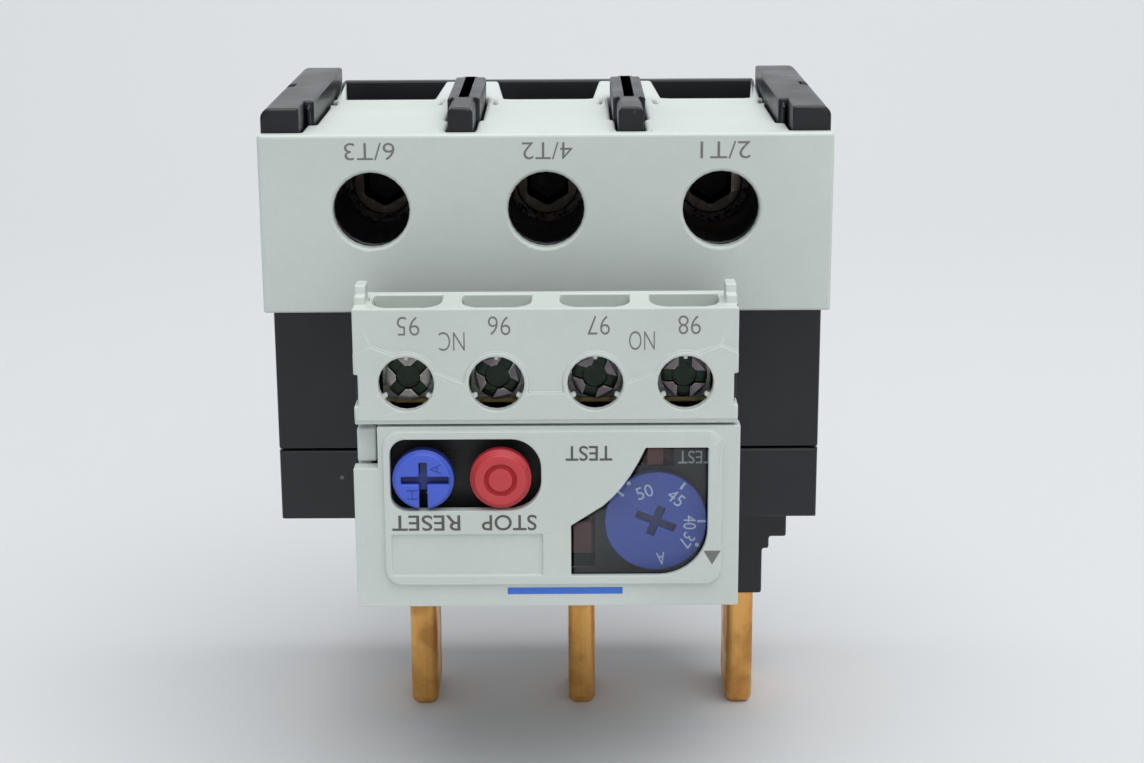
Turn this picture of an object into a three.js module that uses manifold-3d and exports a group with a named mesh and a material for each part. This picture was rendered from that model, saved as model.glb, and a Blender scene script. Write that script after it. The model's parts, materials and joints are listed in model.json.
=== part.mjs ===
// A three-pole thermal overload relay, standing on its three copper plug-in blades.
// Millimetres, +Z up. The front, with the buttons and the dial, faces -Y.
// Every solid is drawn with y = 0 on the front face of the terminal shroud, and one group
// at the end moves them all back, so that the origin is under the middle of the relay.
import * as THREE from "three";
import { mergeVertices } from "three/addons/utils/BufferGeometryUtils.js";
import Module from "manifold-3d";

const wasm = await Module();
wasm.setup();

// ---------------------------------------------------------------- driving dimensions

const WIDTH = 70; // terminal shroud, side to side
const FRONT = 16.8; // how far the button faces stand in front of the shroud's face
const BACK = 45; // from the shroud's face to the back of the rear cover
const GAP = 0.3; // clearance between neighbouring pieces
const WALL = 1.8; // wall of the black case

// Heights above the blade tips.
const BLOCK_FLOOR = 18; // underside of the block that holds the blades
const TIER_1 = 24.4;
const TIER_2 = 26.1;
const CASE_FLOOR = 32.8;
const SEAM = 42.15; // joint line between the two halves of the black case
const SHROUD_FLOOR = 61.1;
const SCREW_LEVEL = 73.85; // axis of the three power terminal screws
const SHROUD_TOP = 83.2;
const BARRIER_TOP = 86.1;

const POLE_PITCH = 21.35; // between the power terminals
const POLES = [-POLE_PITCH, 0, POLE_PITCH];
const BLADE_PITCH = 21.9;
const BLADE_SHIFT = 4.2; // the middle blade's offset from the middle of the relay
const BLADE_WIDE = 3.7;
const BLADE_NECK = 3.1; // thickness inside the block, so that the free blade ends in a shoulder
const BLADE_FRONT = 20.3;
const BLADE_BACK = 31.3;
const BARRIER_X = POLE_PITCH / 2 - 0.25; // inner phase barriers, either side of the middle

const CASE_HALF = 34.4; // half width of the black case below the shroud
const CASE_FRONT = 4.5;
const CASE_BACK = 43;

// The control module in front of the case.
const MODULE_HALF = 22.5;
const PANEL_FRONT = -15.8;
const PANEL_BACK = -13.5;
const PLATEAU_FRONT = -16.3; // the raised field of the front panel
const PANEL_FLOOR = 28.5;
const PANEL_TOP = 51;
const PANEL_HALF = 22.85;
const AUX_FLOOR = 51.3;
const AUX_TOP = 65.2;
const AUX_BACK = -6.5;
const AUX_X = [-16.35, -5.78, 5.78, 16.35]; // auxiliary terminals 95, 96, 97 and 98
const AUX_NAMES = ["95", "96", "97", "98"];
const AUX_LEVEL = 56.23;
const AUX_HOLE = 3.28;
const BASE_FRONT = -12.3; // the dark base behind the buttons and the dial
const BASE_HALF = 20.6;
const MODULE_BACK = 4.2;

const BUTTON_RADIUS = 3.65;
const BUTTON_LEVEL = 44.65;
const RESET_X = -14.6;
const STOP_X = -5.45;
const STEM_RADIUS = 1.9;
const CAP_BACK = -14.6; // leaves 2 mm of travel in front of the module's base
const DIAL_X = 13;
const DIAL_LEVEL = 38.5;
const DIAL_RADIUS = 6.15;
const HINGE_X = 21.9; // the front panel swings about a vertical line here
const HINGE_Y = -14.4;
const PIN_RADIUS = 0.45;
const LEVER_X = 10.3; // the trip lever turns about a vertical pin here
const LEVER_Y = 1.7;

// ---------------------------------------------------------------- materials

function material(color, roughness, metalness = 0, extra = {}) {
  return new THREE.MeshStandardMaterial({ color, roughness, metalness, ...extra });
}

const LIGHT_GREY = material(0xc9cfca, 0.5);
const BLACK = material(0x24262a, 0.55);
const DARK_GREY = material(0x303338, 0.5);
const BLUE = material(0x3c59c8, 0.4);
const RED = material(0xc93b42, 0.4);
const DARK_RED = material(0x7a2226, 0.45);
const CLEAR = material(0xdfe6e8, 0.08, 0, { transparent: true, opacity: 0.3 });
const COPPER = material(0xb8763a, 0.35, 1);
const BRASS = material(0xb9a05a, 0.35, 1);
const ZINC = material(0xa9abad, 0.35, 1);
const STEEL = material(0x8e9194, 0.35, 1);
const NYLON = material(0xe4dfd0, 0.5);

// ---------------------------------------------------------------- solids

/** A closed three.js geometry as a manifold-3d solid. */
function solidOf(geometry) {
  const bare = geometry.clone();
  bare.deleteAttribute("normal");
  bare.deleteAttribute("uv");
  const merged = mergeVertices(bare, 1e-4);
  return new wasm.Manifold(
    new wasm.Mesh({
      numProp: 3,
      vertProperties: merged.attributes.position.array,
      triVerts: new Uint32Array(merged.index.array),
    }),
  );
}

/** A manifold-3d solid as a flat-shaded three.js geometry. */
function geometryOf(solid) {
  const mesh = solid.getMesh();
  const geometry = new THREE.BufferGeometry();
  geometry.setAttribute("position", new THREE.BufferAttribute(mesh.vertProperties, 3));
  geometry.setIndex(new THREE.BufferAttribute(mesh.triVerts, 1));
  geometry.computeVertexNormals();
  return geometry;
}

function block([x0, x1], [y0, y1], [z0, z1]) {
  const box = new THREE.BoxGeometry(x1 - x0, y1 - y0, z1 - z0);
  return solidOf(box.translate((x0 + x1) / 2, (y0 + y1) / 2, (z0 + z1) / 2));
}

/** The same block on both sides of the middle plane. */
function pair([x0, x1], y, z) {
  return block([x0, x1], y, z).add(block([-x1, -x0], y, z));
}

/** A round bar along Y, from y0 to y1. */
function rod(radius, [y0, y1], x, z, sides = 24) {
  const bar = new THREE.CylinderGeometry(radius, radius, y1 - y0, sides);
  return solidOf(bar.translate(x, (y0 + y1) / 2, z));
}

/** A round bar along Z, from z0 to z1. */
function post(radius, x, y, [z0, z1], sides = 20) {
  const bar = new THREE.CylinderGeometry(radius, radius, z1 - z0, sides);
  return solidOf(bar.rotateX(Math.PI / 2).translate(x, y, (z0 + z1) / 2));
}

const STRAIGHT = { bevelEnabled: false, curveSegments: 5 };

/** An outline drawn in X and Z, carried along Y. */
function plate(shape, [y0, y1]) {
  const body = new THREE.ExtrudeGeometry(shape, { ...STRAIGHT, depth: y1 - y0 });
  return solidOf(body.rotateX(Math.PI / 2).translate(0, y1, 0));
}

/** An outline drawn in X and Y, carried along Z. */
function slab(shape, [z0, z1]) {
  const body = new THREE.ExtrudeGeometry(shape, { ...STRAIGHT, depth: z1 - z0 });
  return solidOf(body.translate(0, 0, z0));
}

/** An outline drawn in Y and Z, carried along X. */
function rail(shape, [x0, x1]) {
  const body = new THREE.ExtrudeGeometry(shape, { ...STRAIGHT, depth: x1 - x0 });
  const turn = new THREE.Matrix4().makeBasis(
    new THREE.Vector3(0, 1, 0),
    new THREE.Vector3(0, 0, 1),
    new THREE.Vector3(1, 0, 0),
  );
  return solidOf(body.applyMatrix4(turn).translate(x0, 0, 0));
}

function polygon(points) {
  return new THREE.Shape(points.map(([u, v]) => new THREE.Vector2(u, v)));
}

/** A rectangle whose corners are rounded, with its own radius at the right-hand end. */
function rounded([u0, u1], [v0, v1], radius, right = radius) {
  const shape = new THREE.Shape();
  shape.moveTo(u0 + radius, v0);
  shape.lineTo(u1 - right, v0);
  shape.absarc(u1 - right, v0 + right, right, -Math.PI / 2, 0, false);
  shape.lineTo(u1, v1 - right);
  shape.absarc(u1 - right, v1 - right, right, 0, Math.PI / 2, false);
  shape.lineTo(u0 + radius, v1);
  shape.absarc(u0 + radius, v1 - radius, radius, Math.PI / 2, Math.PI, false);
  shape.lineTo(u0, v0 + radius);
  shape.absarc(u0 + radius, v0 + radius, radius, Math.PI, Math.PI * 1.5, false);
  return shape;
}

function join(first, ...others) {
  return others.reduce((whole, other) => whole.add(other), first);
}

function cut(body, ...tools) {
  return tools.reduce((rest, tool) => rest.subtract(tool), body);
}

// ---------------------------------------------------------------- the relay

const relay = new THREE.Group();
const assembly = new THREE.Group();
assembly.position.y = (FRONT - BACK) / 2;
relay.add(assembly);

function piece(name, solid, finish) {
  const mesh = new THREE.Mesh(geometryOf(solid), finish);
  mesh.name = name;
  assembly.add(mesh);
}

// ---------------------------------------------------------------- black case

/** A hollow of the case that the seam, the rear cover or the shroud closes. */
function caseHollow(half, [z0, z1]) {
  return block([-half, half], [CASE_FRONT + WALL, CASE_BACK + 1], [z0, z1]);
}

const BARRIER_NOSE = 2.4; // the barriers start this far behind the shroud's face
const BARRIER_FOOT = 80.8;
const INNER_STEP = 11.9; // an inner barrier widens behind its nose here
const INNER_BACK = 33.6;
const OUTER_STEP = 9.4; // and an outer barrier here
const UPPER_HALF = 33.1; // half width of the black case inside the shroud

/** An inner barrier: a nose, then a wider part with a groove along its top. */
function innerBarrier(x) {
  const nose = rounded([x - 1.55, x + 1.55], [BARRIER_FOOT, BARRIER_TOP], 0.9);
  const wide = block([x - 2.05, x + 2.05], [INNER_STEP, INNER_BACK], [BARRIER_FOOT, BARRIER_TOP - 0.1]);
  const groove = block([x - 0.6, x + 0.6], [INNER_STEP + 0.5, INNER_BACK + 1], [83.6, 87]);
  const wall = block([x - 0.8, x + 0.8], [CASE_FRONT, CASE_BACK], [SEAM + 0.1, 81.1]);
  return join(cut(plate(nose, [BARRIER_NOSE, INNER_BACK]).add(wide), groove), wall);
}

/** Section of an outer barrier, rounded on its outer side. */
function outerSection(inner) {
  const outer = 34.8;
  const radius = 1.3;
  const foot = 81.7;
  const section = new THREE.Shape();
  section.moveTo(inner, foot);
  section.lineTo(outer, foot);
  section.lineTo(outer, BARRIER_TOP - radius);
  section.absarc(outer - radius, BARRIER_TOP - radius, radius, 0, Math.PI / 2, false);
  section.lineTo(inner, BARRIER_TOP);
  return section;
}

/** An outer barrier along the top edge of the case: it widens inwards behind its nose. */
function outerBarrier(side) {
  const back = BACK - 0.4;
  const body = join(
    plate(outerSection(30.1), [BARRIER_NOSE, back]),
    plate(outerSection(29), [OUTER_STEP, back]),
    block([29.4, 29.8], [OUTER_STEP - 0.8, OUTER_STEP + 0.5], [81.7, 85.4]),
    block([31, UPPER_HALF], [CASE_FRONT, CASE_BACK], [80.5, 82.5]),
  );
  const whole = cut(body, block([33.3, 36], [23.5, 26.5], [84.4, 87]));
  return side > 0 ? whole : whole.mirror([1, 0, 0]);
}

const TUBE_BACK = 19;

/** The hole that leads a screwdriver to a power terminal screw. */
function guideHole(x) {
  return rod(4.9, [CASE_FRONT - 1, TUBE_BACK + 0.5], x, SCREW_LEVEL, 20);
}

/** The tube round that hole. */
function guideTube(x) {
  return rod(5.9, [CASE_FRONT + 1, TUBE_BACK], x, SCREW_LEVEL, 20);
}

const BOSSES = [
  [-29.4, 47.5],
  [29.4, 47.5],
  [-29.4, 60.6],
  [29.4, 60.6],
];

function mainCase() {
  const lower = block([-CASE_HALF, CASE_HALF], [CASE_FRONT, CASE_BACK], [SEAM + 0.1, SHROUD_FLOOR - GAP]);
  const upper = block([-UPPER_HALF, UPPER_HALF], [CASE_FRONT, CASE_BACK], [60, 81.1]);
  const shell = cut(
    lower.add(upper),
    caseHollow(CASE_HALF - WALL, [40, 59]),
    caseHollow(UPPER_HALF - WALL, [58, 84]),
  );
  const bosses = BOSSES.map(([x, z]) => rod(2.6, [35, CASE_BACK], x, z, 12));
  const anchors = pair([28.5, 33], [35, CASE_BACK], [46.7, 48.3]).add(
    pair([28.5, 32], [35, CASE_BACK], [59.8, 61.4]),
  );
  const solid = join(
    shell,
    anchors,
    ...bosses,
    ...POLES.map(guideTube),
    innerBarrier(-BARRIER_X),
    innerBarrier(BARRIER_X),
    outerBarrier(-1),
    outerBarrier(1),
  );
  const leverWindow = block([-4, 16], [CASE_FRONT - 1, CASE_FRONT + 3], [44.5, 57.4]);
  const leverPath = block([5, 14], [CASE_FRONT, 13], [SEAM - 1, 51]);
  const sliderPath = pair([9, 13], [CASE_FRONT + WALL, 20], [40, 43]);
  const pilots = BOSSES.map(([x, z]) => rod(1.4, [36, CASE_BACK + 1], x, z, 10));
  return cut(solid, leverWindow, leverPath, sliderPath, ...POLES.map(guideHole), ...pilots);
}

/** The lower half of the case and the stepped block that the blades come out of. */
function lowerCase() {
  const tiers = [
    [27.6, TIER_2, CASE_FLOOR + 1],
    [25.3, TIER_1, TIER_2 + 0.5],
    [24.4, BLOCK_FLOOR, TIER_1 + 0.5],
  ];
  const blockBack = 36;
  const body = tiers.reduce(
    (whole, [half, z0, z1]) =>
      whole.add(block([BLADE_SHIFT - half, BLADE_SHIFT + half], [16, blockBack], [z0, z1])),
    block([-CASE_HALF, CASE_HALF], [CASE_FRONT, CASE_BACK], [CASE_FLOOR, SEAM - 0.1]),
  );
  const hollow = caseHollow(CASE_HALF - WALL, [CASE_FLOOR + WALL, SEAM + 1]);
  const well = block(
    [BLADE_SHIFT - 22.4, BLADE_SHIFT + 22.4],
    [17.8, blockBack - 1.8],
    [BLOCK_FLOOR + 2, CASE_FLOOR + 3],
  );
  const slots = POLES.map((_, index) => {
    const x = bladeX(index);
    const half = BLADE_WIDE / 2 + GAP;
    const deep = [BLADE_FRONT - GAP, BLADE_BACK + GAP];
    return block([x - half, x + half], deep, [BLOCK_FLOOR - 1, CASE_FLOOR + 3]);
  });
  return cut(body, hollow, well, ...slots);
}

/** The black cover that closes the case from behind, with a tongue behind each cable entry. */
function rearCover() {
  const back = [CASE_BACK + GAP, BACK];
  const body = join(
    block([-CASE_HALF, CASE_HALF], back, [CASE_FLOOR, SHROUD_FLOOR - GAP]),
    block([-UPPER_HALF, UPPER_HALF], back, [60, 81.1]),
    block([-28.7, 28.7], back, [80, 84.3]),
  );
  const heads = BOSSES.map(([x, z]) => rod(2.9, [CASE_BACK + 0.9, BACK + 1], x, z, 16));
  const shanks = BOSSES.map(([x, z]) => rod(1.4, [CASE_BACK, BACK], x, z, 10));
  return cut(body, ...heads, ...shanks);
}

function rearCoverScrew([x, z]) {
  const recess = [BACK - 0.7, BACK + 1];
  return cut(
    rod(2.6, [CASE_BACK + 1.2, BACK - 0.1], x, z, 16).add(rod(1.1, [37, CASE_BACK + 1.3], x, z, 8)),
    block([x - 1.5, x + 1.5], recess, [z - 0.3, z + 0.3]),
    block([x - 0.3, x + 0.3], recess, [z - 1.5, z + 1.5]),
  );
}

// ---------------------------------------------------------------- terminal shroud

/** A cable entry: a notch that opens to the rear, wider at the back. */
function cableNotch(x) {
  const front = 32;
  const outline = polygon([
    [x - 5, front],
    [x + 5, front],
    [x + 5.7, front + 0.35],
    [x + 6, front + 1],
    [x + 7.1, CASE_BACK + 1],
    [x - 7.1, CASE_BACK + 1],
    [x - 6, front + 1],
    [x - 5.7, front + 0.35],
  ]);
  return slab(outline, [80, 86]);
}

/** The shroud's top rises in a low ramp towards its back edge, beside each cable entry. */
function rearRamp() {
  const ramp = polygon([
    [33, SHROUD_TOP - 0.5],
    [CASE_BACK, SHROUD_TOP - 0.5],
    [CASE_BACK, SHROUD_TOP + 1.1],
    [33, SHROUD_TOP],
  ]);
  return rail(ramp, [-28.7, 28.7]);
}

function terminalShroud() {
  const half = WIDTH / 2;
  const body = block([-half, half], [0, CASE_BACK], [SHROUD_FLOOR, SHROUD_TOP]).add(rearRamp());
  const hollow = block([-33.4, 33.4], [2, CASE_BACK + 1], [SHROUD_FLOOR - 1, 81.4]);
  const slots = join(
    pair([BARRIER_X - 2.2, BARRIER_X + 2.2], [1.9, 2.7], [80, 88]),
    pair([BARRIER_X - 1.85, BARRIER_X + 1.85], [1.9, INNER_BACK + GAP], [80, 88]),
    pair([BARRIER_X - 2.35, BARRIER_X + 2.35], [INNER_STEP - GAP, INNER_BACK + GAP], [80, 88]),
    pair([29.8, 36], [1.9, CASE_BACK + 1], [81.4, 88]),
    pair([28.7, 36], [OUTER_STEP - 1.1, CASE_BACK + 1], [81.4, 88]),
  );
  const holes = POLES.map((x) => rod(4.68, [-1, 3], x, SCREW_LEVEL, 28));
  return cut(body, hollow, slots, ...holes, ...POLES.map(cableNotch));
}

// ---------------------------------------------------------------- power path

function bladeX(index) {
  return BLADE_SHIFT + (index - 1) * BLADE_PITCH;
}

/** A plug-in blade with a rounded tip, and the riser that feeds the heater above it. */
function bladeBar(index) {
  const x = bladeX(index);
  const outline = rounded([BLADE_FRONT, BLADE_BACK], [0, 38], 1.2);
  const inside = block([x - 3, x + 3], [BLADE_FRONT - 1, BLADE_BACK + 1], [BLOCK_FLOOR - 0.1, 39]);
  const free = cut(rail(outline, [x - BLADE_WIDE / 2, x + BLADE_WIDE / 2]), inside);
  const neck = rail(outline, [x - BLADE_NECK / 2, x + BLADE_NECK / 2]);
  const pole = POLES[index];
  const riser = block([pole + 2.6, pole + 4.2], [21.5, 24.5], [34, 46]);
  return join(free, neck, riser);
}

/** The copper bar from the heater up into the cable lug. */
function loadBar(x) {
  return join(
    block([x - 4.5, x + 4.5], [38, 40.4], [60, 79]),
    block([x - 4.5, x + 4.5], [19.8, 40.4], [60, 61.8]),
  );
}

/** A box lug: the cable drops in from above and the screw pulls it against the bar. */
function lugCage(x) {
  return cut(
    block([x - 6.8, x + 6.8], [28, 42.6], [66.9, 80.3]),
    block([x - 4.9, x + 4.9], [31, 40.7], [60, 85]),
    rod(3.1, [27, 32], x, SCREW_LEVEL, 14),
  );
}

/** A cheese-head screw with a hexagon socket, behind the end of its guide tube. */
function lugScrew(x) {
  const front = TUBE_BACK + 1;
  const head = rod(4.2, [front, front + 5], x, SCREW_LEVEL, 20);
  const shank = rod(2.8, [front + 4, 31.5], x, SCREW_LEVEL, 12);
  return cut(head.add(shank), rod(2.9, [front - 1, front + 3.4], x, SCREW_LEVEL, 6));
}

const STRIP_Y = [13.5, 19.5];

/** The bimetal strip of a pole, fixed at the top and free at its lower tip. */
function bimetal(x) {
  return join(
    block([x - 0.5, x + 0.5], STRIP_Y, [38.4, 62]),
    block([x - 0.5, x + 0.5], [14.5, 17.5], [35.4, 39]),
    block([x - 2, x + 2], STRIP_Y, [62, 65]),
  );
}

/** Resistance wire wound round a bimetal strip, as an oval helix. */
function heater(x) {
  const turns = 4;
  const steps = 9;
  const points = [];
  for (let i = 0; i <= turns * steps; i += 1) {
    const angle = (i / steps) * 2 * Math.PI;
    const z = 43 + (i / (turns * steps)) * 15;
    points.push(new THREE.Vector3(x + 1.9 * Math.cos(angle), 16.5 + 4 * Math.sin(angle), z));
  }
  return sweep(new THREE.CatmullRomCurve3(points), 0.4, 5, turns * steps);
}

/** A round wire along a curve, closed at both ends. */
function sweep(curve, radius, sides, steps) {
  const section = new THREE.Shape();
  for (let i = 0; i < sides; i += 1) {
    const angle = (i / sides) * 2 * Math.PI;
    const point = [radius * Math.cos(angle), radius * Math.sin(angle)];
    if (i === 0) section.moveTo(...point);
    else section.lineTo(...point);
  }
  return solidOf(new THREE.ExtrudeGeometry(section, { steps, extrudePath: curve, bevelEnabled: false }));
}

// ---------------------------------------------------------------- trip mechanism

const SLIDER_Y = [8.3, 10.3];

/** The trip bar: a finger beside each bimetal tip, and a post that pushes the trip lever. */
function mainSlider() {
  const fingers = POLES.map((x) => block([x + 0.8, x + 1.6], [9, 17], [38.6, 41]));
  return join(
    block([-24, 25], SLIDER_Y, [38.6, 41.6]),
    block([7, 9], SLIDER_Y, [41, 49]),
    ...fingers,
  );
}

/** The differential bar, below the trip bar, with its fingers on the other side of the tips. */
function differentialSlider() {
  const fingers = POLES.map((x) => block([x - 1.6, x - 0.8], [9, 17], [36, 38.2]));
  return join(block([-25, 24], SLIDER_Y, [35.2, 38.2]), ...fingers);
}

/** A bell crank: the trip bar pushes its long arm and its short arm moves the contacts. */
function tripLever() {
  const hub = post(2.2, LEVER_X, LEVER_Y, [45, 49], 14);
  const longArm = block([LEVER_X - 1, LEVER_X + 1], [LEVER_Y, 10.1], [45, 49]);
  const shortArm = block([LEVER_X - 6, LEVER_X], [LEVER_Y - 1, LEVER_Y + 1], [45, 49]);
  return cut(join(hub, longArm, shortArm), post(1.2, LEVER_X, LEVER_Y, [44, 50], 10));
}

function leverPin() {
  return post(0.9, LEVER_X, LEVER_Y, [42.6, 51.4], 10);
}

/** The carrier that moves both contact bridges together. */
function contactCarrier() {
  const body = block([-2.6, 2.6], [-4.5, 4.2], [52.4, 56.8]);
  const tail = block([-2.6, 5.6], [3, 4.2], [46, 56.8]);
  const closedSlot = block([-4, 1.8], [-0.3, 1.1], [52.9, 56]);
  const openSlot = block([-1.8, 4], [-4.4, -3], [52.9, 56]);
  return cut(body.add(tail), closedSlot, openSlot);
}

/** A contact bridge: a plain strip that spans two fixed contacts. */
function bridge([x0, x1], [y0, y1]) {
  return block([x0, x1], [y0, y1], [53.2, 55.7]);
}

/** An auxiliary terminal: a clamp plate, a tab through the base and a contact lip behind it. */
function auxTerminal(x) {
  return cut(
    join(
      block([x - 3.4, x + 3.4], [-8.3, -7.3], [51.9, 60]),
      block([x - 2, x + 2], [-8.3, -0.3], [51.8, 52.8]),
      block([x - 2, x + 2], [-1.5, -0.3], [51.8, 56.2]),
    ),
    rod(2.2, [-9, -7], x, AUX_LEVEL, 12),
  );
}

/** The square washer that traps the wire under an auxiliary screw. */
function auxClamp(x) {
  return cut(
    block([x - 3.2, x + 3.2], [-10.5, -9.6], [AUX_LEVEL - 3.2, AUX_LEVEL + 3.2]),
    rod(2.1, [-11, -9], x, AUX_LEVEL, 12),
  );
}

/** A combination-drive terminal screw. */
function auxScrew(x, index) {
  const turn = (index * 31 + 20) * THREE.MathUtils.DEG2RAD;
  const head = rod(2.75, [-12.9, -10.8], x, AUX_LEVEL, 20);
  const shank = rod(1.7, [-11, -6.4], x, AUX_LEVEL, 10);
  const arm = () => new THREE.BoxGeometry(4.4, 2.6, 0.8).rotateY(turn);
  const blades = [0, Math.PI / 2].map((quarter) =>
    solidOf(arm().rotateY(quarter).translate(x, -12.9, AUX_LEVEL)),
  );
  return cut(head.add(shank), ...blades);
}

// ---------------------------------------------------------------- module shells

/** A wire entry of the auxiliary terminals: straight behind, bowed in front. */
function wireEntry(x) {
  const outline = new THREE.Shape();
  outline.moveTo(x - 4.1, -8);
  outline.lineTo(x - 4.1, -11.2);
  outline.quadraticCurveTo(x - 4.1, -14, x - 2.3, -14.9);
  outline.lineTo(x + 2.3, -14.9);
  outline.quadraticCurveTo(x + 4.1, -14, x + 4.1, -11.2);
  outline.lineTo(x + 4.1, -8);
  return slab(outline, [63, 67]);
}

/** Three small nubs round a screw hole that keep the screw captive. */
function captiveNubs(x) {
  return [90, 212, 328].map((degrees) => {
    const angle = degrees * THREE.MathUtils.DEG2RAD;
    const reach = AUX_HOLE - 0.1;
    const nub = new THREE.BoxGeometry(0.9, 1, 0.5).rotateY(-angle);
    return solidOf(
      nub.translate(x + reach * Math.cos(angle), PANEL_FRONT + 0.9, AUX_LEVEL + reach * Math.sin(angle)),
    );
  });
}

/** The lower part of the cover's face stands proud, along a shallow V that links the holes. */
function coverRelief() {
  const outline = polygon([
    [-MODULE_HALF, AUX_FLOOR + 0.6],
    [MODULE_HALF, AUX_FLOOR + 0.6],
    [MODULE_HALF, 59.9],
    [20.4, 60.8],
    [9.6, 56.3],
    [4, 55.1],
    [-4, 55.1],
    [-9.6, 56.3],
    [-20.4, 60.8],
    [-MODULE_HALF, 59.9],
  ]);
  return plate(outline, [PANEL_FRONT - 0.3, PANEL_FRONT + 0.2]);
}

/** The tab in two steps at each top corner of the auxiliary cover. */
function stairTabs() {
  return join(
    pair([21.1, 22.4], [-13.8, -9.6], [AUX_TOP - 0.5, AUX_TOP + 1.05]),
    pair([21.1, 22.4], [-12.6, -9.6], [AUX_TOP - 0.5, AUX_TOP + 2.1]),
  );
}

function auxCover() {
  const body = block([-MODULE_HALF, MODULE_HALF], [PANEL_FRONT, AUX_BACK], [AUX_FLOOR, AUX_TOP]);
  const chambers = AUX_X.map((x) =>
    join(
      block([x - 4.4, x + 4.4], [PANEL_FRONT + 1.2, AUX_BACK + 1], [AUX_FLOOR - 1, 60.4]),
      block([x - 4.4, x + 4.4], [PANEL_FRONT + 1.2, -8], [60, AUX_TOP - 1.2]),
    ),
  );
  const rims = AUX_X.map((x) => rod(AUX_HOLE + 0.55, [PANEL_FRONT - 0.3, PANEL_FRONT + 1], x, AUX_LEVEL, 24));
  const holes = AUX_X.map((x) => rod(AUX_HOLE, [PANEL_FRONT - 1, PANEL_FRONT + 2], x, AUX_LEVEL, 24));
  const sideNotches = join(
    pair([22, 24], [PANEL_FRONT - 1, PANEL_FRONT + 2], [53.6, 57.4]),
    pair([21.5, 24], [PANEL_FRONT + 1.2, AUX_BACK + 1], [53.6, 57.4]),
  );
  const faced = join(cut(body, ...chambers), coverRelief(), ...rims, stairTabs());
  const open = cut(faced, ...holes, ...AUX_X.map(wireEntry), sideNotches);
  return join(open, ...AUX_X.flatMap(captiveNubs));
}

/** The dark base of the module: it carries the contacts, the dial, the stems and the lever. */
function moduleBase() {
  const upper = join(
    block([-22.4, 22.4], [-6, -4.6], [AUX_FLOOR - 0.5, 64.6]),
    block([-22.4, 22.4], [-6, MODULE_BACK], [AUX_FLOOR - 0.5, SHROUD_FLOOR - GAP]),
  );
  const lower = block([-BASE_HALF, BASE_HALF], [BASE_FRONT, MODULE_BACK], [30.3, AUX_FLOOR]);
  const inside = join(
    block([-19.1, 19.1], [BASE_FRONT + 1.3, MODULE_BACK + 1], [31.6, 50.5]),
    block([-21, 21], [-4.6, MODULE_BACK + 1], [52, 59.5]),
    block([-19.6, 19.6], [-4.6, MODULE_BACK + 1], [31.6, 53]),
  );
  const latches = pair([21.8, 22.4], [PANEL_FRONT + 1.5, -5.8], [53.9, 57.1]);
  const shell = cut(join(upper, lower), inside).add(latches);
  const guide = join(
    block([-20, -1.8], [-2, -0.8], [40.4, 49.4]),
    block([-10.4, -9.6], [BASE_FRONT + 1, -0.8], [40.4, 49.4]),
  );
  const ledges = join(
    block([8, 20], [0.3, 3.3], [42, 43.6]),
    block([8, 20], [0.3, 3.3], [50, 51.5]),
  );
  return cut(join(shell, guide, ledges), ...baseOpenings());
}

/** Holes and slots through the module's base. */
function baseOpenings() {
  const stems = [RESET_X, STOP_X].map((x) => rod(STEM_RADIUS + 0.4, [-14, 2], x, BUTTON_LEVEL, 16));
  const tabs = AUX_X.map((x) => block([x - 2.4, x + 2.4], [-7, -4], [51.4, 53.2]));
  return [
    ...stems,
    ...tabs,
    rod(2.3, [-14, -9], DIAL_X, DIAL_LEVEL, 16),
    block([9.9, 15.1], [-14, -9], [45, 48.3]),
    block([2.7, 5.65], [-14, -9], [32.3, 38.4]),
    post(1.2, LEVER_X, LEVER_Y, [41, 52.5], 10),
  ];
}

/** The light grey sleeve round the lower half of the module, with the ear of the panel's hinge. */
function moduleHousing() {
  const back = MODULE_BACK;
  const walls = cut(
    block([-MODULE_HALF, MODULE_HALF], [PANEL_BACK + 0.7, back], [28.8, PANEL_TOP - 0.7]),
    block([-20.9, 20.9], [PANEL_BACK - 1, back + 1], [30, PANEL_TOP + 2]),
  );
  const corner = block([-MODULE_HALF, -20.25], [-13.8, -12.3], [46.2, PANEL_TOP - 0.7]);
  const ear = join(
    block([20.95, 22.4], [HINGE_Y, PANEL_BACK + 3], [35, 39.5]),
    post(0.75, HINGE_X, HINGE_Y, [35, 39.5], 16),
    post(PIN_RADIUS, HINGE_X, HINGE_Y, [33.2, 41.3], 10),
  );
  return join(walls, corner, ear);
}

/** The outline of the window, whose left edge sweeps inward round the dial. */
function windowOutline(inset) {
  const outline = new THREE.Shape();
  const left = 2.85 + inset;
  const right = 19.1 - inset;
  const top = 48.4 - inset;
  const bottom = 32.5 + inset;
  const bow = 5.8 - inset;
  outline.moveTo(left, bottom);
  outline.lineTo(right - bow, bottom);
  outline.absarc(right - bow, bottom + bow, bow, -Math.PI / 2, 0, false);
  outline.lineTo(right, top);
  outline.lineTo(11.7 + inset, top);
  outline.quadraticCurveTo(9.6 + inset, 43.6 - inset, 6.6 + inset, 41.2 - inset);
  outline.lineTo(left, 38.8 - inset);
  return outline;
}

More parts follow.
